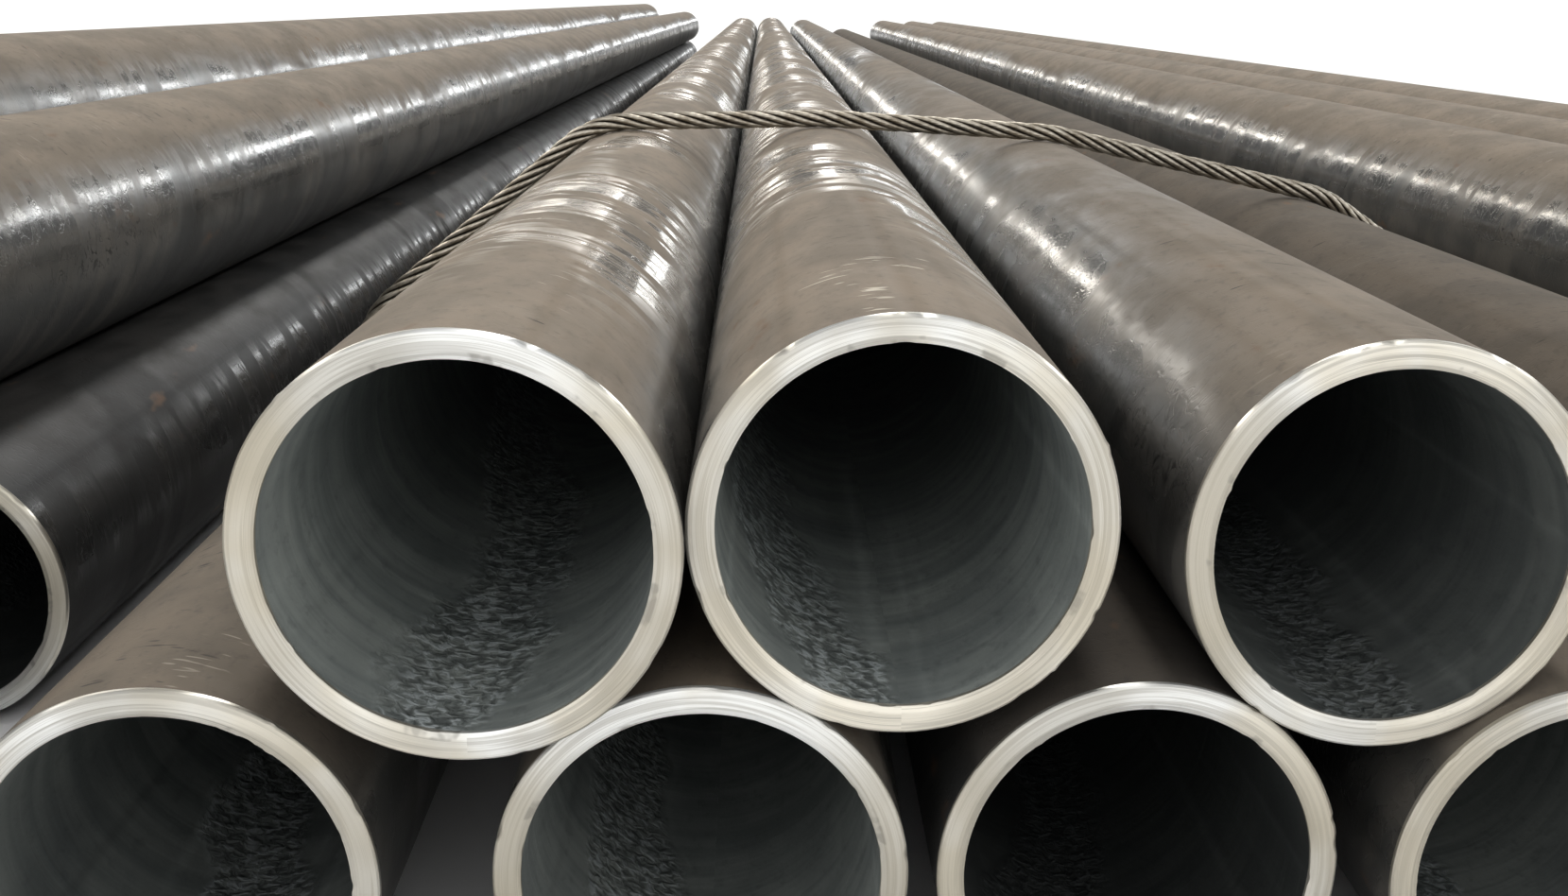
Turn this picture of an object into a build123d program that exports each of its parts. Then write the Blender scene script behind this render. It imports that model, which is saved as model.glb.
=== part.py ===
"""Lashed stack of thick-walled seamless steel pipes lying on the floor.

Pipes run along +Y and +Z is up. The stack's front is at low Y. The origin is the
middle of the stack's footprint, on the floor. All sizes are in millimetres.
"""
from build123d import *
import os
from collections import namedtuple
from math import atan2, cos, hypot, pi, radians, sin, sqrt, tan

# Pipe
PIPE_DIAMETER = 194.0
PIPE_WALL = 13.0
PIPE_LENGTH = 12000.0
OUTER_CHAMFER = 1.2
INNER_BEVEL_WIDTH = 3.5
INNER_BEVEL_DEPTH = 1.2

# Lashing rope and the sleeves pressed on its two ends
ROPE_DIAMETER = 18.0
ROPE_SETBACK = 1115.0
SLEEVE_DIAMETER = 28.0
SLEEVE_LENGTH = 50.0
SLEEVE_CAP = 6.0
SLEEVE_CHAMFER = 2.0
SLEEVE_LIFT = 12.0

# Clearances between round faces that lean on each other
PIPE_CLEARANCE = 0.3
ROPE_CLEARANCE = 0.25

# Free gap from each pipe of the floor row to the next one, left to right
FLOOR_GAPS = [77.0, 80.0, 101.0, 52.0, 13.5, 23.5, 132.0, 38.0, 3.0, 4.0]

# Side lean of the pipe that sits on the fifth floor pipe, from level
LEAN_ANGLE = 61.8

# Upper pipe 03 crosses over the third floor pipe and touches it at mid-length, at this angle from
# level, and its ends swing this far to each side of there
CROSSING_ANGLE = 94.0
CROSSING_SWING = 45.0

# The rope's left leg leaves upper pipe 04 at this angle from level and comes down midway between
# the third and fourth floor pipes
LEFT_LEG_ANGLE = 40.0

# How far each pipe's front end lies behind the fifth floor pipe's front end
FLOOR_SETBACKS = [40.0, -22.0, 425.0, 4.0, 0.0, -1.0, -12.0, 8.0, -20.0, 30.0, -15.0]
UPPER_SETBACKS = {
    "upper_pipe_01": -10.0,
    "upper_pipe_02": 35.0,
    "upper_pipe_03": -30.0,
    "upper_pipe_04": -12.0,
    "upper_pipe_05": -1.0,
    "upper_pipe_06": -1.0,
    "upper_pipe_07": -40.0,
    "upper_pipe_08": 45.0,
    "upper_pipe_09": -25.0,
    "upper_pipe_10": 12.0,
}

# Upper pipes that the rope is pulled over, left to right
LASHED_UPPER_PIPES = ["upper_pipe_04", "upper_pipe_05", "upper_pipe_06", "upper_pipe_07"]

PIPE_RADIUS = PIPE_DIAMETER / 2
BORE_RADIUS = PIPE_RADIUS - PIPE_WALL
ROPE_RADIUS = ROPE_DIAMETER / 2

# Distance from a pipe's axis to the rope's centre line where the rope lies on it
ROPE_BEND = PIPE_RADIUS + ROPE_RADIUS + ROPE_CLEARANCE

# Distance between the axes of two pipes that touch, and of two with the rope between
TOUCHING = PIPE_DIAMETER + PIPE_CLEARANCE
ROPE_BETWEEN = 2 * ROPE_BEND

# A point of the stack's cross-section
Spot = namedtuple("Spot", "x z")


def rest_on(left, right, left_distance=TOUCHING, right_distance=TOUCHING):
    """Axis of a pipe that lies in the valley on top of two others."""
    span = hypot(right.x - left.x, right.z - left.z)
    along = (left_distance**2 - right_distance**2 + span**2) / (2 * span)
    height = sqrt(left_distance**2 - along**2)
    ux = (right.x - left.x) / span
    uz = (right.z - left.z) / span
    return Spot(left.x + along * ux - height * uz, left.z + along * uz + height * ux)


def lean_on(pipe, angle):
    """Axis of a pipe that touches one pipe at an angle from level."""
    return Spot(pipe.x + TOUCHING * cos(radians(angle)), pipe.z + TOUCHING * sin(radians(angle)))


def floor_row():
    """Axes of the pipes on the floor, from left to right."""
    spots = [Spot(0.0, PIPE_RADIUS)]
    for gap in FLOOR_GAPS:
        spots.append(Spot(spots[-1].x + PIPE_DIAMETER + gap, PIPE_RADIUS))
    return spots


def crossing_ends(pipe):
    """Front and back ends' axes of a straight pipe that crosses over another pipe."""
    touch = lean_on(pipe, CROSSING_ANGLE)
    across = CROSSING_SWING * sin(radians(CROSSING_ANGLE))
    rise = -CROSSING_SWING * cos(radians(CROSSING_ANGLE))
    return Spot(touch.x - across, touch.z - rise), Spot(touch.x + across, touch.z + rise)


def upper_pipes(floor):
    """Axes of the pipes above the floor row at their front ends, by node name."""
    first = rest_on(floor[0], floor[1])
    third, _ = crossing_ends(floor[2])
    fifth = lean_on(floor[4], LEAN_ANGLE)
    return {
        "upper_pipe_01": first,
        "upper_pipe_02": rest_on(first, third),
        "upper_pipe_03": third,
        "upper_pipe_04": rest_on(floor[4], fifth),
        "upper_pipe_05": fifth,
        "upper_pipe_06": rest_on(floor[5], floor[6]),
        "upper_pipe_07": rest_on(floor[6], floor[7]),
        "upper_pipe_08": rest_on(floor[7], floor[8], left_distance=ROPE_BETWEEN),
        "upper_pipe_09": rest_on(floor[8], floor[9]),
        "upper_pipe_10": rest_on(floor[9], floor[10]),
    }


def make_pipe():
    """One pipe along +Z from Z = 0: its wall section turned about its axis."""
    lower_half = [
        (BORE_RADIUS, 0, INNER_BEVEL_DEPTH),
        (BORE_RADIUS + INNER_BEVEL_WIDTH, 0, 0),
        (PIPE_RADIUS - OUTER_CHAMFER, 0, 0),
        (PIPE_RADIUS, 0, OUTER_CHAMFER),
    ]
    upper_half = [(radius, 0, PIPE_LENGTH - depth) for radius, _, depth in reversed(lower_half)]
    return revolve(make_face(Polyline(*lower_half, *upper_half, close=True)), Axis.Z)


def lay(pipe, front, back, setback):
    """The pipe laid from its front end's spot towards its back end's spot."""
    start = Vector(front.x, setback, front.z)
    end = Vector(back.x, setback + PIPE_LENGTH, back.z)
    return Plane(origin=start, z_dir=end - start) * pipe


def turn(first, second, third):
    """Positive where the way from the first spot over the second to the third bends left."""
    return ((second.x - first.x) * (third.z - second.z)
            - (second.z - first.z) * (third.x - second.x))


def outermost(spots):
    """The pipes that a taut rope laid over them from left to right touches."""
    touched = []
    for spot in spots:
        while len(touched) > 1 and turn(touched[-2], touched[-1], spot) >= 0:
            touched.pop()
        touched.append(spot)
    return touched


def crossing(first, second):
    """Point where two lines, each a start point and a heading, cross."""
    (a, a_heading), (b, b_heading) = first, second
    across = cos(a_heading) * sin(b_heading) - sin(a_heading) * cos(b_heading)
    along = ((b.x - a.x) * sin(b_heading) - (b.z - a.z) * cos(b_heading)) / across
    return Spot(a.x + along * cos(a_heading), a.z + along * sin(a_heading))


def leg_bend(pipe, foot):
    """Centre of the free bend at the foot of the rope's left leg, which comes down off a pipe."""
    x = foot + ROPE_BEND
    return Spot(x, pipe.z - (pipe.x - x) * tan(radians(LEFT_LEG_ANGLE)))


def rope_corners(lashed):
    """Corners of the rope's route, from its left end round the given bends to its right end."""
    touched = outermost(lashed)
    end_height = SLEEVE_LIFT + SLEEVE_CAP
    left_end = Spot(touched[0].x - ROPE_BEND, end_height)
    right_end = Spot(touched[-1].x + ROPE_BEND, end_height)
    runs = [(left_end, pi / 2)]
    for here, there in zip(touched, touched[1:]):
        heading = atan2(there.z - here.z, there.x - here.x)
        start = Spot(here.x - ROPE_BEND * sin(heading), here.z + ROPE_BEND * cos(heading))
        runs.append((start, heading))
    runs.append((right_end, -pi / 2))
    corners = [crossing(first, second) for first, second in zip(runs, runs[1:])]
    return [left_end, *corners, right_end]


def make_rope(corners):
    """The lashing rope, with a bend at each corner of its route, in the plane Y = 0."""
    points = [(corner.x, 0, corner.z) for corner in corners]
    bends = [ROPE_BEND] * (len(points) - 2)
    route = FilletPolyline(*points, radius=bends)
    rope = sweep(Plane(origin=points[0], z_dir=(0, 0, 1)) * Circle(ROPE_RADIUS), route)
    print("rope bend radii", [round(bend, 1) for bend in bends])
    print("rope length", round(route.length, 1))
    print("rope volume over section times length",
          round(rope.volume / (pi * ROPE_RADIUS**2 * route.length), 5))
    return rope


def make_sleeve():
    """Pressed end sleeve: a closed cup, mouth up, with its bottom at Z = 0."""
    outside = SLEEVE_DIAMETER / 2
    bore = ROPE_RADIUS + ROPE_CLEARANCE
    section = make_face(Polyline(
        (0, 0, 0),
        (outside - SLEEVE_CHAMFER, 0, 0),
        (outside, 0, SLEEVE_CHAMFER),
        (outside, 0, SLEEVE_LENGTH - SLEEVE_CHAMFER),
        (outside - SLEEVE_CHAMFER, 0, SLEEVE_LENGTH),
        (bore, 0, SLEEVE_LENGTH),
        (bore, 0, SLEEVE_CAP),
        (0, 0, SLEEVE_CAP),
        close=True,
    ))
    return revolve(section, Axis.Z)


def build():
    """Every piece of the stack in its place, by node name."""
    floor = floor_row()
    upper = upper_pipes(floor)
    fronts = {f"floor_pipe_{number:02d}": spot for number, spot in enumerate(floor, 1)}
    setbacks = dict(zip(fronts, FLOOR_SETBACKS))
    fronts.update(upper)
    setbacks.update(UPPER_SETBACKS)
    backs = dict(fronts)
    _, backs["upper_pipe_03"] = crossing_ends(floor[2])

    middle_x = (floor[0].x + floor[-1].x) / 2
    middle_y = (min(setbacks.values()) + max(setbacks.values()) + PIPE_LENGTH) / 2
    centre = Pos(-middle_x, -middle_y, 0)

    pipe = make_pipe()
    pieces = {}
    for name in fronts:
        pieces[name] = centre * lay(pipe, fronts[name], backs[name], setbacks[name])

    over = [upper[name] for name in LASHED_UPPER_PIPES]
    foot = (floor[2].x + floor[3].x) / 2
    lashed = [leg_bend(over[0], foot), *over, floor[7]]
    corners = rope_corners(lashed)
    pieces["lashing_rope"] = centre * Pos(0, ROPE_SETBACK, 0) * make_rope(corners)
    sleeve = make_sleeve()
    for name, end in (("rope_sleeve_left", corners[0]), ("rope_sleeve_right", corners[-1])):
        pieces[name] = centre * Pos(end.x, ROPE_SETBACK, SLEEVE_LIFT) * sleeve
    return pieces


os.makedirs("parts", exist_ok=True)
for node, solid in build().items():
    solid.label = node
    export_step(solid, f"parts/{node}.step")
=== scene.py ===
"""Looks of a lashed stack of thick-walled steel pipes: brown-grey mill scale, bright machined
ends, dark bores, a twisted wire rope and its two pressed sleeves. Lengths are in metres, +Z is
up, and the pipes run along +Y."""

import math
from collections import namedtuple

import bpy
import numpy as np
from mathutils import Matrix, Vector


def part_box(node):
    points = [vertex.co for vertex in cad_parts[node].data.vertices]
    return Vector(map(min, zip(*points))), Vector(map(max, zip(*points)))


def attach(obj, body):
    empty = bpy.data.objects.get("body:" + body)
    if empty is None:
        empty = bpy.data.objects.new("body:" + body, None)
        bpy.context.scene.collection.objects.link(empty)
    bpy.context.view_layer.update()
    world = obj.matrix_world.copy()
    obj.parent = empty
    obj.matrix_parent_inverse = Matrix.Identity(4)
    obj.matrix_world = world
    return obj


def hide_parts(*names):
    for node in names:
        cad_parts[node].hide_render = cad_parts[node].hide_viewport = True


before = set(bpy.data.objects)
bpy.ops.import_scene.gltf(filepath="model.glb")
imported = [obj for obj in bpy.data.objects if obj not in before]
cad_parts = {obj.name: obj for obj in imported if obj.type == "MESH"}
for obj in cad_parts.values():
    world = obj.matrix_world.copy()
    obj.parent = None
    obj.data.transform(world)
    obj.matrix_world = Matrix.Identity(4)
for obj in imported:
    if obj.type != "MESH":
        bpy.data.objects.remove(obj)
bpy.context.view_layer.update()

TURN = 2 * math.pi

# Real sizes
PIPE_RADIUS = 0.097
BORE_RADIUS = 0.084
PIPE_LENGTH = 12.0
OUTER_CHAMFER = 0.0012
INNER_BEVEL_WIDTH = 0.0035
INNER_BEVEL_DEPTH = 0.0012
ROPE_RADIUS = 0.009
ROPE_CLEARANCE = 0.00025
SLEEVE_RADIUS = 0.014
SLEEVE_LENGTH = 0.050

# Camera, measured from the foot of the fifth floor pipe's front end
CAMERA_OFFSET = Vector((0.0297, -0.7317, 0.4915))
CAMERA_PITCH = math.radians(17.74)
CAMERA_YAW = math.radians(5.01)
CAMERA_ROLL = math.radians(1.30)
CAMERA_NEAREST = 0.01
CAMERA_FARTHEST = 400.0
PHOTO_WIDTH = 1659
PHOTO_HEIGHT = 948
FOCAL_PIXELS = 1832
PRINCIPAL_POINT = (962, 588)
SENSOR_WIDTH = 36.0

# Mesh fineness
PIPE_SEGMENTS = 192
NEAR_SEGMENTS = 288
NEAR_PIPES = ["floor_pipe_04", "floor_pipe_05", "floor_pipe_06", "floor_pipe_07",
              "upper_pipe_04", "upper_pipe_05", "upper_pipe_06"]
SKIN_SPANS = 12
CORNER_RADIUS = 0.0003
CORNER_STEPS = 3
PIPE_SHARP_ANGLE = math.radians(35)
SLEEVE_SEGMENTS = 144
SLEEVE_CORNER_RADIUS = 0.0010
SLEEVE_CORNER_STEPS = 4
SLEEVE_SHARP_ANGLE = math.radians(40)

# Worn ring edges: faint waves, then nicks and burrs, each with the range that their number, depth
# and half width in radians are drawn from
FIRST_SEED = 11
EDGE_WAVES = (3, 7, 13, 29)
EDGE_WAVE_DEPTH = 0.00003
NICKS = (5, 10)
NICK_DEPTHS = (0.0003, 0.0011)
NICK_WIDTHS = (0.02, 0.06)
NICK_SHAPE = 0.7
BURRS = (1, 4)
BURR_HEIGHTS = (0.0004, 0.0010)
BURR_WIDTHS = (0.02, 0.04)
WORN_DEPTH = 2 * OUTER_CHAMFER
WORN_OUTSIDE_FROM = PIPE_RADIUS - 1.5 * OUTER_CHAMFER
WORN_INSIDE_TO = BORE_RADIUS + 0.3 * INNER_BEVEL_WIDTH
INSIDE_WEAR = 0.7

# Rope lay
LEFT_LEG_ANGLE = math.radians(40.0)
STRANDS = 6
STRAND_LAY = 0.131
WIRES = 8
WIRE_LAY = 0.062
WIRE_RELIEF = 0.16
SIDES_PER_WIRE = 3
ROPE_STEP = 0.0028

# Marks of the press on the rope's sleeves: rings, flats from the dies, and a flash ridge on two
# sides. The flats and the ridge fade in and out between these heights, and not on the mouth
PRESS_RINGS_FROM = (0.0100, 0.0245)
PRESS_RING_DEPTH = 0.0009
PRESS_RING_SLOPE = 0.0012
PRESS_RING_WIDTH = 0.0044
FLAT_DEPTH = 0.0004
FLAT_PAIRS = 3
FLASH_HEIGHT = 0.0008
FLASH_HALF_WIDTH = 0.07
FLAT_FADE = (0.002, 0.006, 0.041, 0.047)
ROUND_WITHIN = SLEEVE_RADIUS - 0.003

# Floor disc, and the rim round it: low beyond the stack, high elsewhere, and this much run for
# each metre of its rise
FLOOR_REACH = 150.0
LOW_RIM_HEIGHT = 4.0
HIGH_RIM_HEIGHT = 40.0
RIM_RUN = 2
LOW_RIM_TO = math.radians(45.0)
HIGH_RIM_FROM = math.radians(60.0)
RIM_STEPS = 96

# Light: radiance behind the camera and beyond the stack, and the span of Y over which it changes
FRONT_LIGHT = 0.70
FAR_LIGHT = 0.20
LIGHT_SPAN = (-0.2, 0.75)

# Box high in front: its radiance, its span of Z and of Y
FRONT_BOX = 1.3
FRONT_BOX_RISE = (0.22, 0.62)
FRONT_BOX_EDGE = 0.10
FRONT_BOX_SPAN = (-0.35, -0.70)

# Soft boxes that run along the pipes: angle from level, half width, radiance and tint of each,
# and the angles from the pipes' direction between which they fade in and out
SOFT_BOXES = [
    (33.0, 3.5, 8.0, (0.97, 0.99, 1.0)),
    (87.0, 5.0, 8.0, (1.0, 0.98, 0.95)),
    (141.0, 3.5, 8.0, (1.0, 0.95, 0.87)),
]
SOFT_BOX_EDGE = 0.4
SOFT_BOX_FAR_END = (math.radians(1.5), math.radians(6.0))
SOFT_BOX_NEAR_END = (math.radians(70.0), math.radians(110.0))

NAMES = sorted(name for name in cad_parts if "_pipe_" in name)
LASHED = ["upper_pipe_04", "upper_pipe_05", "upper_pipe_06", "upper_pipe_07", "floor_pipe_08"]

# Bloom, burnish, wear and tone of the usual pipe, and of those that differ from it
USUAL = (1.0, 0.45, 0.35, 1.0)
OWN = {
    "upper_pipe_02": (0.90, 0.70, 0.25, 0.95),
    "upper_pipe_03": (0.90, 0.70, 0.25, 0.95),
    "upper_pipe_04": (1.0, 0.9, 0.5, 1.0),
    "upper_pipe_05": (1.0, 1.0, 1.0, 0.96),
    "upper_pipe_06": (0.62, 0.75, 0.14, 0.88),
    "upper_pipe_07": (0.9, 0.60, 0.1, 0.48),
    "upper_pipe_08": (0.85, 0.80, 0.35, 0.95),
    "floor_pipe_03": (0.40, 0.80, 0.0, 0.13),
    "floor_pipe_04": (0.9, 0.15, 0.40, 0.70),
    "floor_pipe_05": (0.9, 0.15, 0.45, 0.80),
    "floor_pipe_06": (0.8, 0.1, 0.0, 0.22),
    "floor_pipe_07": (0.9, 0.2, 0.40, 0.74),
}


def srgb(red, green, blue):
    """A linear colour from 8-bit display values."""
    linear = []
    for value in (red, green, blue):
        share = value / 255
        linear.append(share / 12.92 if share <= 0.04045 else ((share + 0.055) / 1.055) ** 2.4)
    return (*linear, 1.0)


# Colours of the pipes' skin, most of them in pairs that clouds mix
# The low scale is painted shade: darker than the mid scale low on the sides and underneath
SHADED_LOW_SCALE = srgb(36, 36, 36), srgb(46, 46, 44)
MID_SCALE = srgb(86, 87, 85), srgb(100, 97, 92)
BLOOM = srgb(125, 112, 96), srgb(112, 102, 89)
BURNISH = srgb(108, 108, 107), srgb(136, 127, 112)
DARK_BAND = srgb(48, 48, 47)
PALE_BAND = srgb(140, 131, 118)
SPECKLE = srgb(58, 54, 49)
# Near black that pipes of a low tone are darkened towards
LOW_TONE_BLACK = srgb(14, 14, 14)
CRACK = srgb(24, 23, 22)
SCRATCH = srgb(34, 32, 30)
SCRAPE = srgb(196, 188, 172)
RUST = srgb(102, 75, 52)

# Colours of the turned ends
TURNED = srgb(238, 239, 237), srgb(222, 217, 204)
DULL_TURNED = srgb(166, 161, 148)
TOOL_MARK = srgb(146, 142, 132)
BROAD_TOOL_MARK = srgb(150, 146, 137)
# Painted shade that darkens and warms the left and right of each end face
PAINTED_SIDE_SHADE = srgb(176, 168, 150)
GRAZE = srgb(128, 125, 118)

# Colours of the bores
BORE_SCALE = srgb(146, 151, 147), srgb(117, 123, 121)
BORE_PATCH = srgb(92, 97, 98)
BORE_SPECKLE = srgb(66, 70, 71)
# Pale flakes, their colour partly a painted highlight, and painted shade in the hollows between
# them
PALE_FLAKE_AND_HIGHLIGHT = srgb(172, 178, 180)
FLAKE_HOLLOW_SHADE = srgb(44, 47, 48)
# Dark bore colour, partly painted shade for bores in shadow
DARK_BORE_AND_SHADE = srgb(20, 22, 22)

# Colours of the rope and its sleeves
WIRE = srgb(186, 179, 165), srgb(138, 129, 114)
# Painted shade for the rope's grooves
GROOVE_SHADE = srgb(66, 56, 46)
PRESSED = srgb(168, 167, 163), srgb(128, 126, 121)
SLEEVE_STAIN = srgb(84, 74, 62)
DRAWN_LINE = srgb(70, 68, 64)

PALE_FLOOR = (0.93, 0.93, 0.93, 1), (0.90, 0.90, 0.90, 1)

Ends = namedtuple("Ends", "front back")


def pipe_ends(name):
    """Centres of a pipe's front and back ends, from its CAD node."""
    places = np.array([vertex.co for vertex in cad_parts[name].data.vertices])
    middle_y = (places[:, 1].min() + places[:, 1].max()) / 2
    centres = []
    for end in (places[places[:, 1] < middle_y], places[places[:, 1] > middle_y]):
        centres.append(Vector((end.min(axis=0) + end.max(axis=0)) / 2))
    front, back = centres
    slack = (PIPE_LENGTH - (back - front).length) / 2
    along = (back - front).normalized()
    return Ends(front - along * slack, back + along * slack)


ENDS = {name: pipe_ends(name) for name in NAMES}


def make_camera():
    """The photograph's camera."""
    foot = ENDS["floor_pipe_05"].front.copy()
    foot.z = 0.0
    data = bpy.data.cameras.new("camera")
    data.sensor_width = SENSOR_WIDTH
    data.lens = SENSOR_WIDTH * FOCAL_PIXELS / PHOTO_WIDTH
    data.shift_x = (PHOTO_WIDTH / 2 - PRINCIPAL_POINT[0]) / PHOTO_WIDTH
    data.shift_y = (PRINCIPAL_POINT[1] - PHOTO_HEIGHT / 2) / PHOTO_WIDTH
    data.clip_start = CAMERA_NEAREST
    data.clip_end = CAMERA_FARTHEST
    turn = (Matrix.Rotation(-CAMERA_YAW, 3, "Z")
            @ Matrix.Rotation(math.pi / 2 - CAMERA_PITCH, 3, "X")
            @ Matrix.Rotation(CAMERA_ROLL, 3, "Z"))
    camera = bpy.data.objects.new("camera", data)
    camera.matrix_world = Matrix.Translation(foot + CAMERA_OFFSET) @ turn.to_4x4()
    bpy.context.scene.collection.objects.link(camera)
    bpy.context.scene.camera = camera


def new_mesh(name, vertices, faces, materials):
    mesh = bpy.data.meshes.new(name)
    mesh.from_pydata(vertices, [], faces)
    for material in materials:
        mesh.materials.append(material)
    return mesh


def new_object(name, mesh):
    piece = bpy.data.objects.new(name, mesh)
    bpy.context.scene.collection.objects.link(piece)
    return piece


def band(here, there, sides):
    """Faces between two rings of vertices, given the index of each ring's first vertex."""
    faces = []
    for step in range(sides):
        ahead = (step + 1) % sides
        faces.append((here + step, here + ahead, there + ahead, there + step))
    return faces


def rounded(points, radius, steps):
    """A polyline with each inner corner rounded."""
    result = [points[0]]
    for before, corner, after in zip(points, points[1:], points[2:]):
        corner = np.array(corner)
        back = np.array(before) - corner
        ahead = np.array(after) - corner
        reach = min(radius, np.linalg.norm(back) / 2, np.linalg.norm(ahead) / 2)
        start = corner + back / np.linalg.norm(back) * reach
        end = corner + ahead / np.linalg.norm(ahead) * reach
        for step in np.linspace(0, 1, steps + 1):
            point = (1 - step) ** 2 * start + 2 * step * (1 - step) * corner + step**2 * end
            result.append(tuple(point))
    result.append(points[-1])
    return result


def end_profile():
    """Bore edge, face and outer edge of a pipe's end, as (radius, depth) from the inside out."""
    return rounded([
        (BORE_RADIUS, INNER_BEVEL_DEPTH * 3),
        (BORE_RADIUS, INNER_BEVEL_DEPTH),
        (BORE_RADIUS + INNER_BEVEL_WIDTH, 0.0),
        (PIPE_RADIUS - OUTER_CHAMFER, 0.0),
        (PIPE_RADIUS, OUTER_CHAMFER),
        (PIPE_RADIUS, OUTER_CHAMFER * 3),
    ], CORNER_RADIUS, CORNER_STEPS)


def pipe_profile():
    """Closed outline of the wall, as (radius, distance along the pipe, zone)."""
    front = end_profile()
    profile = [(radius, depth, "end") for radius, depth in front]
    skin = np.linspace(front[-1][1], PIPE_LENGTH - front[-1][1], SKIN_SPANS + 1)
    profile[-1] = (*front[-1], "skin")
    profile += [(PIPE_RADIUS, along, "skin") for along in skin[1:-1]]
    profile += [(radius, PIPE_LENGTH - depth, "end") for radius, depth in reversed(front)]
    profile[-1] = (front[0][0], PIPE_LENGTH - front[0][1], "bore")
    profile += [(BORE_RADIUS, along, "bore") for along in skin[-2:0:-1]]
    return profile


def dent(angles, chance, depths, widths, shape=1.0):
    """Depth at each angle of one dent at a random place round a ring."""
    away = np.abs((angles - chance.uniform(0, TURN) + math.pi) % TURN - math.pi)
    depth = chance.uniform(*depths)
    return depth * np.clip(1 - away / chance.uniform(*widths), 0, 1) ** shape


def edge_dents(angles, chance):
    """How deep a worn edge is dented at each angle: faint waves, a few nicks and a burr or two."""
    depth = np.zeros(len(angles))
    for waves in EDGE_WAVES:
        depth += EDGE_WAVE_DEPTH * np.sin(waves * angles + chance.uniform(0, TURN))
    for _ in range(chance.integers(*NICKS)):
        depth += dent(angles, chance, NICK_DEPTHS, NICK_WIDTHS, NICK_SHAPE)
    for _ in range(chance.integers(*BURRS)):
        depth -= dent(angles, chance, BURR_HEIGHTS, BURR_WIDTHS)
    return depth


def make_pipe(name, materials):
    """One pipe, with its front end's centre at the object's origin and its axis on local Y."""
    profile = pipe_profile()
    segments = NEAR_SEGMENTS if name in NEAR_PIPES else PIPE_SEGMENTS
    angles = np.arange(segments) * TURN / segments
    chance = np.random.default_rng(NAMES.index(name) + FIRST_SEED)
    outer_dents = edge_dents(angles, chance)
    inner_dents = edge_dents(angles, chance)
    rings = []
    faces = []
    zones = []
    for ring, (radius, along, zone) in enumerate(profile):
        radii = np.full(segments, radius)
        if min(along, PIPE_LENGTH - along) < WORN_DEPTH:
            if radius > WORN_OUTSIDE_FROM:
                radii -= outer_dents
            if radius < WORN_INSIDE_TO:
                radii += INSIDE_WEAR * inner_dents
        rings.append(np.column_stack([radii * np.cos(angles), np.full(segments, along),
                                      radii * np.sin(angles)]))
        faces += band(ring * segments, (ring + 1) % len(profile) * segments, segments)
        zones += [list(materials).index(zone)] * segments
    mesh = new_mesh(name, np.concatenate(rings).tolist(), faces, materials.values())
    mesh.polygons.foreach_set("material_index", zones)
    mesh.shade_smooth()
    mesh.set_sharp_from_angle(angle=PIPE_SHARP_ANGLE)
    ends = ENDS[name]
    turn = (ends.back - ends.front).to_track_quat("Y", "Z")
    pipe = new_object(name + "_steel", mesh)
    pipe.color = OWN.get(name, USUAL)
    pipe.matrix_world = Matrix.Translation(ends.front) @ turn.to_matrix().to_4x4()
    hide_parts(name)
    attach(pipe, "root")


class Nodes:
    """Short calls for building a node tree."""

    def __init__(self, tree):
        self.tree = tree

    def feed(self, socket, value):
        if isinstance(value, bpy.types.NodeSocket):
            self.tree.links.new(value, socket)
        else:
            socket.default_value = value

    def add(self, kind, settings=None, **inputs):
        node = self.tree.nodes.new(kind)
        for key, value in (settings or {}).items():
            setattr(node, key, value)
        for key, value in inputs.items():
            self.feed(node.inputs[key.replace("_", " ")], value)
        return node

    def calculate(self, kind, operation, values):
        node = self.add(kind, {"operation": operation})
        for socket, value in zip(node.inputs, values):
            self.feed(socket, value)
        return node.outputs[0]

    def math(self, operation, *values):
        return self.calculate("ShaderNodeMath", operation, values)

    def vector(self, operation, *values):
        return self.calculate("ShaderNodeVectorMath", operation, values)

    def plus(self, first, second):
        return self.math("ADD", first, second)

    def minus(self, first, second):
        return self.math("SUBTRACT", first, second)

    def times(self, first, second):
        return self.math("MULTIPLY", first, second)

    def joined(self, x, y, z):
        return self.add("ShaderNodeCombineXYZ", X=x, Y=y, Z=z).outputs[0]

    def noise(self, vector, scale, detail, roughness, distortion=0.0):
        place = self.vector("MULTIPLY", vector, scale)
        node = self.add("ShaderNodeTexNoise", Vector=place, Scale=1.0, Detail=detail,
                        Roughness=roughness, Distortion=distortion)
        return node.outputs["Fac"]

    def ramp(self, value, low, high, start=0.0, end=1.0):
        """Smooth change from start to end while a value goes from low to high."""
        node = self.add("ShaderNodeMapRange", {"interpolation_type": "SMOOTHSTEP"}, Value=value,
                        From_Min=low, From_Max=high, To_Min=start, To_Max=end)
        return node.outputs["Result"]

    def between(self, value, low, high, edge):
        """One inside a range of values, fading out over an edge at each side."""
        return self.times(self.ramp(value, low - edge, low + edge),
                          self.ramp(value, high - edge, high + edge, 1.0, 0.0))

    def mix(self, factor, first, second):
        node = self.add("ShaderNodeMix", {"data_type": "RGBA"})
        for place, value in ((0, factor), (6, first), (7, second)):
            self.feed(node.inputs[place], value)
        return node.outputs[2]

    def bump(self, height, distance, normal=None):
        node = self.add("ShaderNodeBump", Strength=1.0, Distance=distance, Height=height)
        if normal is not None:
            self.feed(node.inputs["Normal"], normal)
        return node.outputs["Normal"]


class Material(Nodes):
    """A material with one main shader."""

    def __init__(self, name):
        self.material = bpy.data.materials.new(name)
        self.material.use_nodes = True
        super().__init__(self.material.node_tree)
        self.shader = self.tree.nodes["Principled BSDF"]
        self.place = self.add("ShaderNodeTexCoord").outputs["Object"]

    def set(self, **inputs):
        for key, value in inputs.items():
            self.feed(self.shader.inputs[key.replace("_", " ")], value)


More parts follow.
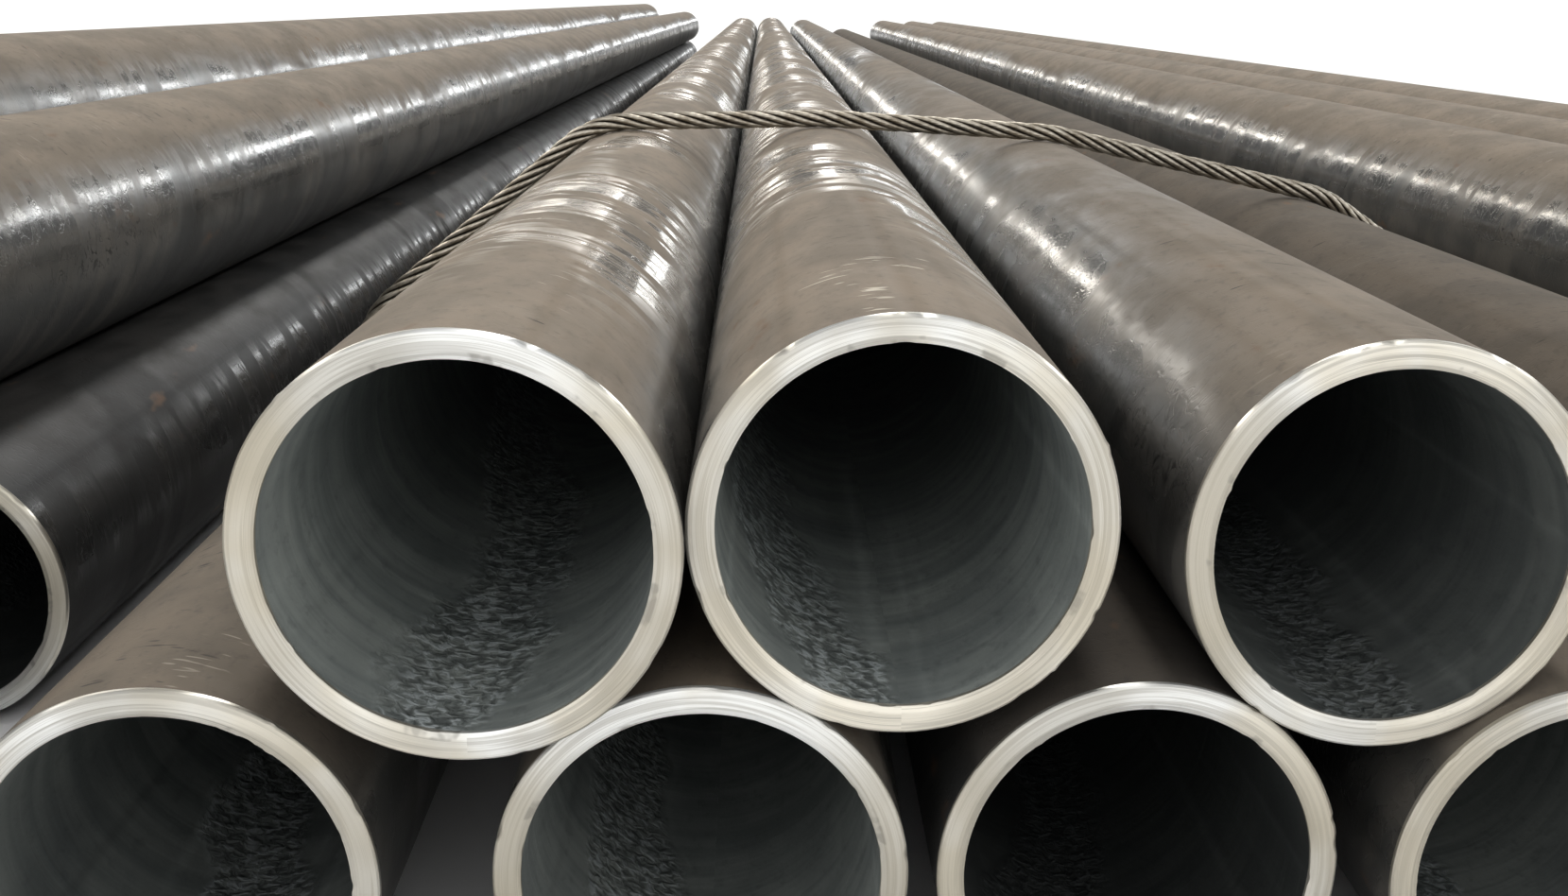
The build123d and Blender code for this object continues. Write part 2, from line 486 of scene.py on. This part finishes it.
class PipeMaterial(Material):
    """A pipe's material, with places on the pipe: local Y runs along it from the front end."""

    def __init__(self, name):
        super().__init__(name)
        parts = self.add("ShaderNodeSeparateXYZ", Vector=self.place)
        self.x, self.along, self.z = (parts.outputs[key] for key in "XYZ")
        info = self.add("ShaderNodeObjectInfo")
        shift = self.vector("MULTIPLY", info.outputs["Location"], (13.7, 5.3, 29.1))
        self.own = self.vector("ADD", self.place, shift)
        self.own_shift = self.add("ShaderNodeSeparateXYZ", Vector=shift).outputs["X"]
        own = self.add("ShaderNodeSeparateColor", Color=info.outputs["Color"])
        self.bloom, self.gloss, self.wear = (own.outputs[key] for key in ("Red", "Green", "Blue"))
        self.tone = info.outputs["Alpha"]
        self.round = self.math("ARCTAN2", self.x, self.z)
        self.radius = self.math("SQRT", self.plus(self.times(self.x, self.x),
                                                  self.times(self.z, self.z)))

    def spots(self, scale, detail, roughness, distortion=0.0, shift=None):
        """Noise that differs from pipe to pipe. Another shift gives another pattern."""
        place = self.vector("ADD", self.own, shift) if shift else self.own
        return self.noise(place, scale, detail, roughness, distortion)

    def helical(self, pitch, along_scale, round_scale, detail, roughness, distortion=0.0):
        """Noise that follows a helix of this pitch: its scale along the pipe, and round it."""
        turned = self.times(self.round, pitch / TURN)
        start = self.plus(self.along, self.own_shift)
        place = self.joined(self.times(self.plus(start, turned), along_scale),
                            self.times(self.round, round_scale), self.own_shift)
        return self.noise(place, (1.0, 1.0, 1.0), detail, roughness, distortion)


def scale_colour(nodes, height, cloud, fine, level, bloom):
    """Scale painted darker low down as shade, greyer above, the brown bloom on top, and rolling
    bands over them.
    """
    clouded = nodes.ramp(cloud, 0.35, 0.65)
    # Painted shade: from the mid scale to the darker low scale towards the underside
    colour = nodes.mix(nodes.ramp(level, -0.55, 0.30), nodes.mix(clouded, *SHADED_LOW_SCALE),
                       nodes.mix(clouded, *MID_SCALE))
    colour = nodes.mix(bloom, colour, nodes.mix(clouded, *BLOOM))
    bands = nodes.helical(pitch=0.34, along_scale=17.0, round_scale=0.35, detail=2.0,
                          roughness=0.55, distortion=0.25)
    dark_bands = nodes.times(nodes.ramp(bands, 0.57, 0.61),
                             nodes.ramp(height, 0.95, -0.1, 0.05, 0.55))
    colour = nodes.mix(dark_bands, colour, DARK_BAND)
    colour = nodes.mix(nodes.ramp(bands, 0.44, 0.34, 0.0, 0.12), colour, PALE_BAND)
    colour = nodes.mix(nodes.ramp(fine, 0.50, 0.80, 0.0, 0.35), colour, SPECKLE)
    # Pipes of a low tone are darkened towards near black
    return nodes.mix(nodes.minus(1.0, nodes.tone), colour, LOW_TONE_BLACK)


def marked(nodes, colour, height, crack_lines):
    """The colour with scuffed cracks low on the sides, dark scratches, pale scrapes and rust."""
    scuffed = nodes.spots((9.0, 3.5, 9.0), detail=1.5, roughness=0.6)
    low_side = nodes.between(height, -0.35, 0.40, 0.2)
    scuff = nodes.times(nodes.times(crack_lines, nodes.ramp(scuffed, 0.52, 0.64)), low_side)
    colour = nodes.mix(nodes.times(scuff, 0.8), colour, CRACK)

    scratches = nodes.helical(pitch=0.12, along_scale=260.0, round_scale=5.0, detail=1.0,
                              roughness=0.5)
    scratched = nodes.spots((16.0, 7.0, 16.0), detail=1.0, roughness=0.5)
    scratch = nodes.times(nodes.ramp(scratches, 0.68, 0.74), nodes.ramp(scratched, 0.52, 0.60))
    colour = nodes.mix(nodes.times(scratch, 0.8), colour, SCRATCH)

    scraped = nodes.spots((18.0, 9.0, 18.0), detail=1.0, roughness=0.5, shift=(3.0, 1.0, 7.0))
    scrape = nodes.times(nodes.ramp(scratches, 0.34, 0.28), nodes.ramp(scraped, 0.56, 0.64))
    scrape = nodes.times(scrape, nodes.times(nodes.wear, nodes.ramp(height, 0.55, 0.85)))
    colour = nodes.mix(nodes.times(scrape, 0.8), colour, SCRAPE)

    rusty = nodes.spots((24.0, 9.0, 24.0), detail=3.0, roughness=0.7, shift=(9.0, 4.0, 2.0))
    return nodes.mix(nodes.ramp(rusty, 0.63, 0.74, 0.0, 0.6), colour, RUST)


def burnished(nodes, height, darkest):
    """Burnished patches: short bars round the pipe with fine lines in them, in loose groups. They
    fade out near the front end, apart from the darkest pipe's."""
    bars = nodes.helical(pitch=0.16, along_scale=42.0, round_scale=1.1, detail=2.0,
                         roughness=0.6, distortion=0.05)
    lines = nodes.helical(pitch=0.05, along_scale=420.0, round_scale=3.0, detail=1.0,
                          roughness=0.5)
    grouped = nodes.spots((8.0, 2.2, 8.0), detail=2.0, roughness=0.55, shift=(5.0, 2.0, 8.0))
    grouped = nodes.plus(grouped, nodes.times(darkest, 0.12))
    shiny = nodes.times(nodes.ramp(bars, 0.44, 0.52), nodes.ramp(grouped, 0.42, 0.54))
    flank = nodes.math("MAXIMUM", nodes.between(height, 0.05, 0.62, 0.12),
                       nodes.ramp(nodes.gloss, 0.80, 0.90))
    shiny = nodes.times(shiny, nodes.times(nodes.gloss, flank))
    shiny = nodes.times(shiny, nodes.ramp(lines, 0.30, 0.48, 0.55, 1.0))
    from_end = nodes.ramp(nodes.along, 0.03, 0.30, 0.15, 1.0)
    return nodes.times(shiny, nodes.math("MAXIMUM", from_end, darkest))


def skin_material():
    """Rolled pipe's outside: mill scale painted darker low down as shade, under a brown bloom on
    top, with helical rolling bands, burnished patches, scratches, scuffs and rust."""
    nodes = PipeMaterial("mill_scale")
    height = nodes.math("DIVIDE", nodes.z, PIPE_RADIUS)
    broad = nodes.spots((6.0, 0.9, 6.0), detail=2.0, roughness=0.5)
    cloud = nodes.spots((22.0, 9.0, 22.0), detail=3.0, roughness=0.6)
    fine = nodes.spots((160.0, 90.0, 160.0), detail=2.5, roughness=0.65)
    blocks = nodes.helical(pitch=0.34, along_scale=11.0, round_scale=0.3, detail=1.0,
                           roughness=0.5)
    cracks = nodes.spots((55.0, 70.0, 55.0), detail=2.0, roughness=0.6, distortion=0.6)
    from_crack = nodes.math("ABSOLUTE", nodes.minus(cracks, 0.5))
    crack_lines = nodes.ramp(from_crack, 0.006, 0.026, 1.0, 0.0)
    darkest = nodes.ramp(nodes.tone, 0.22, 0.12)

    level = nodes.plus(height, nodes.times(nodes.minus(broad, 0.5), 0.9))
    level = nodes.plus(level, nodes.times(nodes.minus(cloud, 0.5), 0.35))
    bare_edge = nodes.minus(level, nodes.ramp(nodes.bloom, 1.0, 0.0, 0.0, 0.9))
    bloom = nodes.ramp(bare_edge, 0.30, 0.80)
    shiny = burnished(nodes, height, darkest)
    colour = scale_colour(nodes, height, cloud, fine, level, bloom)
    colour = marked(nodes, colour, height, crack_lines)
    colour = nodes.mix(nodes.times(nodes.times(shiny, nodes.tone), 0.75), colour,
                       nodes.mix(nodes.ramp(height, 0.3, 0.9), *BURNISH))

    bare = nodes.minus(1.0, nodes.times(bloom, nodes.minus(1.0, shiny)))
    rough = nodes.ramp(bare, 0.0, 1.0, 0.80, 0.35)
    rough = nodes.plus(rough, nodes.ramp(nodes.tone, 0.7, 0.3, 0.0, 0.28))
    smooth = nodes.times(nodes.ramp(blocks, 0.38, 0.46), nodes.ramp(bare, 0.4, 1.0))
    rough = nodes.minus(rough, nodes.times(smooth, 0.13))
    rough = nodes.minus(rough, nodes.times(shiny, nodes.ramp(nodes.tone, 0.9, 0.2, 0.08, 0.40)))
    rough = nodes.plus(rough, nodes.ramp(cloud, 0.40, 0.70, -0.02, 0.10))
    rough = nodes.plus(rough, nodes.ramp(height, 0.15, -0.20, 0.0, 0.35))
    metal = nodes.plus(nodes.times(bare, 0.45), nodes.times(shiny, 0.35))
    metal = nodes.times(metal, nodes.times(nodes.tone, nodes.ramp(height, -0.20, 0.15)))

    lobes = nodes.spots((22.0, 2.2, 22.0), detail=1.0, roughness=0.5)
    swell = nodes.helical(pitch=0.34, along_scale=17.0, round_scale=0.35, detail=0.5,
                          roughness=0.5)
    waves = nodes.plus(nodes.plus(swell, blocks), nodes.times(lobes, 0.7))
    normal = nodes.bump(waves, 0.0015)
    normal = nodes.bump(nodes.plus(nodes.times(crack_lines, -0.5), fine), 0.00014, normal)
    nodes.set(Base_Color=colour, Roughness=rough, Metallic=metal, Normal=normal, IOR=1.5,
              Specular_IOR_Level=nodes.ramp(darkest, 0.0, 1.0, 0.5, 0.28))
    return nodes.material


def end_material():
    """Turned end face: bright steel with concentric tool marks, warm or dull patches and painted
    side shade.
    """
    nodes = PipeMaterial("turned_steel")
    ring_place = nodes.joined(nodes.times(nodes.radius, 2600.0), nodes.times(nodes.round, 0.8),
                              nodes.own_shift)
    rings = nodes.noise(ring_place, (1.0, 1.0, 1.0), detail=3.0, roughness=0.55)
    broad_rings = nodes.noise(ring_place, (0.16, 1.0, 1.0), detail=2.0, roughness=0.5)
    tint = nodes.spots((13.0, 2.0, 13.0), detail=3.0, roughness=0.5)
    dull = nodes.spots((11.0, 2.0, 11.0), detail=2.0, roughness=0.5, shift=(4.0, 9.0, 1.0))
    grazed = nodes.spots((45.0, 2.0, 45.0), detail=3.0, roughness=0.6, shift=(2.0, 5.0, 3.0))

    colour = nodes.mix(nodes.ramp(tint, 0.42, 0.60), *TURNED)
    colour = nodes.mix(nodes.ramp(dull, 0.44, 0.60, 0.0, 0.55), colour, DULL_TURNED)
    colour = nodes.mix(nodes.ramp(rings, 0.50, 0.66, 0.0, 0.40), colour, TOOL_MARK)
    colour = nodes.mix(nodes.ramp(broad_rings, 0.48, 0.58, 0.0, 0.42), colour, BROAD_TOOL_MARK)
    # Painted shade and reflection: the face's left and right sides are darker and warmer, standing
    # in for the dimmer surroundings they reflect
    shaded_side_share = nodes.math("ABSOLUTE", nodes.math("DIVIDE", nodes.x, nodes.radius))
    colour = nodes.mix(nodes.ramp(shaded_side_share, 0.45, 1.0, 0.0, 0.6), colour, PAINTED_SIDE_SHADE)
    across = nodes.math("DIVIDE", nodes.minus(nodes.radius, BORE_RADIUS),
                        PIPE_RADIUS - BORE_RADIUS)
    inner = nodes.times(nodes.ramp(across, 0.34, 0.24), nodes.ramp(grazed, 0.60, 0.67))
    colour = nodes.mix(nodes.times(inner, 0.5), colour, GRAZE)

    normal = nodes.bump(nodes.plus(rings, broad_rings), 0.00008)
    tangent = nodes.add("ShaderNodeTangent", {"direction_type": "RADIAL", "axis": "Y"})
    nodes.set(Base_Color=colour, Roughness=nodes.ramp(rings, 0.3, 0.7, 0.30, 0.42),
              Normal=normal, Metallic=0.9, Anisotropic=0.85, Anisotropic_Rotation=0.25,
              Tangent=tangent.outputs[0])
    return nodes.material


def bore_material():
    """Bore: blue-grey scale with faint rings, pale loose flakes low down near the front with
    painted highlight on their tops and painted shade between, and some bores darkened partly as
    painted shade.
    """
    nodes = PipeMaterial("bore_scale")
    rings = nodes.helical(pitch=0.09, along_scale=55.0, round_scale=0.5, detail=3.0,
                          roughness=0.6, distortion=0.3)
    fine = nodes.spots((110.0, 70.0, 110.0), detail=3.0, roughness=0.65)
    patches = nodes.spots((14.0, 6.0, 14.0), detail=3.0, roughness=0.6)
    colour = nodes.mix(nodes.ramp(rings, 0.3, 0.7), *BORE_SCALE)
    colour = nodes.mix(nodes.ramp(patches, 0.40, 0.68, 0.0, 0.45), colour, BORE_PATCH)
    colour = nodes.mix(nodes.ramp(fine, 0.52, 0.74, 0.0, 0.35), colour, BORE_SPECKLE)

    # The bed of flakes wanders from side to side along the pipe
    low = nodes.math("ARCTAN2", nodes.x, nodes.times(nodes.z, -1.0))
    drift = nodes.noise(nodes.joined(nodes.own_shift, nodes.times(nodes.along, 1.2), 0.0),
                        (1.0, 1.0, 1.0), detail=1.0, roughness=0.5)
    aside = nodes.plus(low, nodes.ramp(drift, 0.25, 0.75, -0.25, 1.05))
    spread = nodes.plus(nodes.math("ABSOLUTE", aside),
                        nodes.times(nodes.minus(patches, 0.5), 1.1))
    loose = nodes.times(nodes.ramp(spread, 0.42, 0.22), nodes.ramp(nodes.along, 1.3, 0.3))
    flake_place = nodes.joined(nodes.times(low, 15.0), nodes.times(nodes.along, 160.0),
                               nodes.own_shift)
    flakes = nodes.noise(flake_place, (1.0, 1.0, 1.0), detail=2.0, roughness=0.5, distortion=0.5)
    # The flakes are pale, with a painted highlight on their raised tops and painted shade in the
    # hollows between them
    flake_and_highlight = nodes.times(loose, nodes.ramp(flakes, 0.54, 0.59))
    hollow_shade = nodes.times(loose, nodes.ramp(flakes, 0.49, 0.42))
    colour = nodes.mix(nodes.times(flake_and_highlight, 0.7), colour, PALE_FLAKE_AND_HIGHLIGHT)
    colour = nodes.mix(nodes.times(hollow_shade, 0.5), colour, FLAKE_HOLLOW_SHADE)

    # Pipes of a dark tone or with little wear have a dim bore, partly their own darker scale and
    # partly painted shade for bores in shadow
    dim_and_shade = nodes.math("MAXIMUM", nodes.ramp(nodes.tone, 1.0, 0.4, 0.0, 0.9),
                     nodes.ramp(nodes.wear, 0.45, 0.05, 0.0, 0.7))
    colour = nodes.mix(dim_and_shade, colour, DARK_BORE_AND_SHADE)
    normal = nodes.bump(nodes.plus(rings, nodes.times(fine, 0.3)), 0.0008)
    normal = nodes.bump(nodes.times(loose, flakes), 0.0035, normal)
    nodes.set(Base_Color=colour, Roughness=0.5, Normal=normal, IOR=1.5)
    return nodes.material


def rope_material():
    """Bare steel wire, with painted shade in the grooves."""
    nodes = Material("rope_wire")
    depth = nodes.add("ShaderNodeAttribute", {"attribute_name": "outward"}).outputs["Fac"]
    dirt = nodes.noise(nodes.place, (60.0, 60.0, 60.0), detail=3.0, roughness=0.6)
    colour = nodes.mix(nodes.ramp(dirt, 0.35, 0.7), *WIRE)
    # Painted shade: darker deeper in the grooves between strands and wires
    colour = nodes.mix(nodes.ramp(depth, 0.95, 0.72), colour, GROOVE_SHADE)
    nodes.set(Base_Color=colour, Roughness=0.36, Metallic=0.8)
    return nodes.material


def outermost(centres):
    """The pipes that a taut rope laid over them from left to right touches."""
    touched = []
    for centre in centres:
        while len(touched) > 1:
            before, here = touched[-2:]
            bend = ((here.x - before.x) * (centre.z - here.z)
                    - (here.z - before.z) * (centre.x - here.x))
            if bend < 0:
                break
            touched.pop()
        touched.append(centre)
    return touched


def shares(length):
    """Evenly spaced shares of a length, from its start on, about a rope step apart."""
    count = max(1, round(length / ROPE_STEP))
    return np.arange(count) / count


def rope_route(low, high):
    """Points along the rope's centre line in the XZ plane, with the rope's heading at each."""
    bend = PIPE_RADIUS + ROPE_RADIUS + ROPE_CLEARANCE
    over = [ENDS[name].front for name in LASHED]
    free_bend = Vector((low.x + ROPE_RADIUS + bend, 0.0, 0.0))
    free_bend.z = over[0].z - (over[0].x - free_bend.x) * math.tan(LEFT_LEG_ANGLE)
    centres = outermost([free_bend, *over])
    headings = [math.pi / 2]
    for here, there in zip(centres, centres[1:]):
        headings.append(math.atan2(there.z - here.z, there.x - here.x))
    headings.append(-math.pi / 2)

    def on_pipe(centre, heading):
        return np.array([centre.x - bend * math.sin(heading), centre.z + bend * math.cos(heading)])

    points = []
    tangents = []
    position = np.array([centres[0].x - bend, low.z])
    for centre, before, after in zip(centres, headings, headings[1:]):
        start = on_pipe(centre, before)
        for share in shares(np.linalg.norm(start - position)):
            points.append(position + (start - position) * share)
            tangents.append(before)
        turn = after - before
        for share in shares(abs(turn) * bend):
            points.append(on_pipe(centre, before + turn * share))
            tangents.append(before + turn * share)
        position = on_pipe(centre, after)
    end = np.array([position[0], low.z])
    for share in [*shares(np.linalg.norm(end - position)), 1.0]:
        points.append(position + (end - position) * share)
        tangents.append(headings[-1])
    return np.array(points), tangents


def make_rope():
    """Six strands laid round each other, each with the relief of its outer wires."""
    low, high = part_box("lashing_rope")
    plane_y = (low.y + high.y) / 2
    points, tangents = rope_route(low, high)
    steps = np.linalg.norm(np.diff(points, axis=0), axis=1)
    travelled = np.concatenate([[0], np.cumsum(steps)])
    strand_radius = ROPE_RADIUS / 3
    centre_radius = ROPE_RADIUS - strand_radius
    sides = WIRES * SIDES_PER_WIRE
    across = Vector((0, -1, 0))
    vertices = []
    outward_shares = []
    faces = []
    for strand in range(STRANDS):
        first = len(vertices)
        phases = TURN * (travelled / STRAND_LAY + strand / STRANDS)
        for point, heading, phase, distance in zip(points, tangents, phases, travelled):
            outward = Vector((-math.sin(heading), 0, math.cos(heading)))
            middle = Vector((point[0], plane_y, point[1]))
            centre = middle + centre_radius * (math.cos(phase) * outward
                                               + math.sin(phase) * across)
            roll = -TURN * distance / WIRE_LAY
            for side in range(sides):
                angle = TURN * side / sides
                relief = WIRE_RELIEF * (1 - abs(math.cos(WIRES * angle / 2)))
                reach = strand_radius * (1 - relief)
                turned = angle + roll
                vertex = centre + reach * (math.cos(turned) * outward + math.sin(turned) * across)
                vertices.append(vertex)
                outward_shares.append((vertex - middle).length / ROPE_RADIUS)
        for here in range(first, len(vertices) - sides, sides):
            faces += band(here, here + sides, sides)
        faces.append(tuple(reversed(range(first, first + sides))))
        faces.append(tuple(range(len(vertices) - sides, len(vertices))))
    mesh = new_mesh("wire_rope", [tuple(vertex) for vertex in vertices], faces, [rope_material()])
    mesh.attributes.new("outward", "FLOAT", "POINT").data.foreach_set("value", outward_shares)
    mesh.shade_smooth()
    rope = new_object("wire_rope", mesh)
    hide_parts("lashing_rope")
    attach(rope, "root")


def sleeve_material():
    """Pressed metal: dull and scuffed, with dark stains and drawn lines."""
    nodes = Material("pressed_metal")
    wear = nodes.noise(nodes.place, (90.0, 90.0, 90.0), detail=5.0, roughness=0.6)
    stain = nodes.noise(nodes.place, (35.0, 35.0, 20.0), detail=3.0, roughness=0.6)
    drawn = nodes.noise(nodes.place, (900.0, 900.0, 60.0), detail=3.0, roughness=0.6)
    colour = nodes.mix(nodes.ramp(wear, 0.35, 0.7), *PRESSED)
    colour = nodes.mix(nodes.ramp(stain, 0.52, 0.68, 0.0, 0.6), colour, SLEEVE_STAIN)
    colour = nodes.mix(nodes.ramp(drawn, 0.60, 0.74, 0.0, 0.4), colour, DRAWN_LINE)
    normal = nodes.bump(nodes.plus(drawn, wear), 0.0001)
    nodes.set(Base_Color=colour, Roughness=nodes.ramp(wear, 0.3, 0.7, 0.35, 0.5), Metallic=0.8,
              Normal=normal)
    return nodes.material


def sleeve_outline():
    """Half section of a sleeve, as (radius, height) from its bottom to inside its mouth."""
    mouth = ROPE_RADIUS + ROPE_CLEARANCE
    outline = [(0.0002, 0.0), (SLEEVE_RADIUS - 0.0025, 0.0), (SLEEVE_RADIUS, 0.0035)]
    for start in PRESS_RINGS_FROM:
        outline += [
            (SLEEVE_RADIUS, start),
            (SLEEVE_RADIUS - PRESS_RING_DEPTH, start + PRESS_RING_SLOPE),
            (SLEEVE_RADIUS - PRESS_RING_DEPTH, start + PRESS_RING_WIDTH - PRESS_RING_SLOPE),
            (SLEEVE_RADIUS, start + PRESS_RING_WIDTH),
        ]
    outline += [
        (SLEEVE_RADIUS, 0.0390),
        (SLEEVE_RADIUS - 0.0008, 0.0440),
        (SLEEVE_RADIUS - 0.0024, SLEEVE_LENGTH - 0.0006),
        (mouth + 0.0008, SLEEVE_LENGTH),
        (mouth, SLEEVE_LENGTH - 0.0012),
        (mouth, SLEEVE_LENGTH - 0.0080),
    ]
    return rounded(outline, SLEEVE_CORNER_RADIUS, SLEEVE_CORNER_STEPS)


def make_sleeve(node, material):
    """Pressed ferrule: flats from the press dies, a flash ridge on two sides, press rings, a
    rounded bottom and a lip that turns in to the rope."""
    low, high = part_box(node)
    angles = np.arange(SLEEVE_SEGMENTS) * TURN / SLEEVE_SEGMENTS
    flats = FLAT_DEPTH * (1 - np.abs(np.cos(FLAT_PAIRS * angles)))
    away = np.abs((angles + math.pi / 2) % math.pi - math.pi / 2)
    flash = FLASH_HEIGHT * np.clip(1 - away / FLASH_HALF_WIDTH, 0, 1)
    rings = []
    faces = []
    for radius, along in sleeve_outline():
        # The flats and the flash fade out towards both ends, and the mouth stays round
        pressed = np.interp(along, FLAT_FADE, (0, 1, 1, 0)) if radius > ROUND_WITHIN else 0.0
        radii = radius + pressed * (flash - flats)
        if rings:
            here = (len(rings) - 1) * SLEEVE_SEGMENTS
            faces += band(here, here + SLEEVE_SEGMENTS, SLEEVE_SEGMENTS)
        rings.append(np.column_stack([radii * np.cos(angles), radii * np.sin(angles),
                                      np.full(SLEEVE_SEGMENTS, along)]))
    faces.append(tuple(reversed(range(SLEEVE_SEGMENTS))))
    mesh = new_mesh(node, np.concatenate(rings).tolist(), faces, [material])
    mesh.shade_smooth()
    mesh.set_sharp_from_angle(angle=SLEEVE_SHARP_ANGLE)
    sleeve = new_object(node + "_ferrule", mesh)
    sleeve.matrix_world = Matrix.Translation(((low.x + high.x) / 2, (low.y + high.y) / 2, low.z))
    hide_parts(node)
    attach(sleeve, "root")


def make_stage():
    """Pale floor with a sloping rim far away, low beyond the stack and high elsewhere."""
    nodes = Material("pale_floor")
    mottle = nodes.noise(nodes.place, (1.5, 1.5, 1.5), detail=1.0, roughness=0.5)
    nodes.set(Base_Color=nodes.mix(nodes.ramp(mottle, 0.3, 0.7), *PALE_FLOOR), Roughness=0.8)
    inner = []
    outer = []
    for step in range(RIM_STEPS):
        angle = TURN * step / RIM_STEPS
        from_back = abs((angle - math.pi / 2 + math.pi) % TURN - math.pi)
        share = min(1.0, max(0.0, (from_back - LOW_RIM_TO) / (HIGH_RIM_FROM - LOW_RIM_TO)))
        height = LOW_RIM_HEIGHT + (HIGH_RIM_HEIGHT - LOW_RIM_HEIGHT) * share
        reach = FLOOR_REACH + RIM_RUN * height
        inner.append((FLOOR_REACH * math.cos(angle), FLOOR_REACH * math.sin(angle), 0.0))
        outer.append((reach * math.cos(angle), reach * math.sin(angle), height))
    floor = new_mesh("floor", inner, [tuple(range(RIM_STEPS))], [nodes.material])
    rim = new_mesh("rim", inner + outer, band(0, RIM_STEPS, RIM_STEPS), [nodes.material])
    new_object("floor", floor)
    new_object("rim", rim)


def make_light():
    """Soft studio light: pale all round, dimmer low down beyond the stack, with three long
    soft boxes that run along the pipes overhead and at each side."""
    world = bpy.data.worlds.new("world")
    bpy.context.scene.world = world
    world.use_nodes = True
    nodes = Nodes(world.node_tree)
    nodes.tree.nodes.clear()
    place = nodes.add("ShaderNodeTexCoord").outputs["Generated"]
    parts = nodes.add("ShaderNodeSeparateXYZ", Vector=place)
    x, y, z = (parts.outputs[key] for key in "XYZ")
    pale = nodes.ramp(y, *LIGHT_SPAN, FRONT_LIGHT, FAR_LIGHT)
    high_front = nodes.times(nodes.between(z, *FRONT_BOX_RISE, FRONT_BOX_EDGE),
                             nodes.ramp(y, *FRONT_BOX_SPAN))
    pale = nodes.plus(pale, nodes.times(high_front, FRONT_BOX))
    light = nodes.joined(pale, pale, pale)
    polar = nodes.math("ARCTAN2", z, x)
    off_axis = nodes.math("ARCCOSINE", y)
    fade = nodes.times(nodes.ramp(off_axis, *SOFT_BOX_FAR_END),
                       nodes.ramp(off_axis, *SOFT_BOX_NEAR_END, 1.0, 0.0))
    for angle, half_width, radiance, tint in SOFT_BOXES:
        away = nodes.math("ABSOLUTE", nodes.minus(polar, math.radians(angle)))
        share = nodes.ramp(away, math.radians(half_width * (1 - SOFT_BOX_EDGE)),
                           math.radians(half_width * (1 + SOFT_BOX_EDGE)), radiance, 0.0)
        share = nodes.times(share, fade)
        tinted = nodes.vector("MULTIPLY", nodes.joined(share, share, share), tint)
        light = nodes.vector("ADD", light, tinted)
    background = nodes.add("ShaderNodeBackground", Color=light)
    output = nodes.add("ShaderNodeOutputWorld")
    nodes.feed(output.inputs[0], background.outputs[0])


make_camera()
pipe_materials = {"skin": skin_material(), "end": end_material(), "bore": bore_material()}
for pipe_name in NAMES:
    make_pipe(pipe_name, pipe_materials)
make_rope()
pressed_metal = sleeve_material()
for sleeve_node in ("rope_sleeve_left", "rope_sleeve_right"):
    make_sleeve(sleeve_node, pressed_metal)
make_stage()
make_light()
bpy.context.scene.view_settings.view_transform = "Standard"
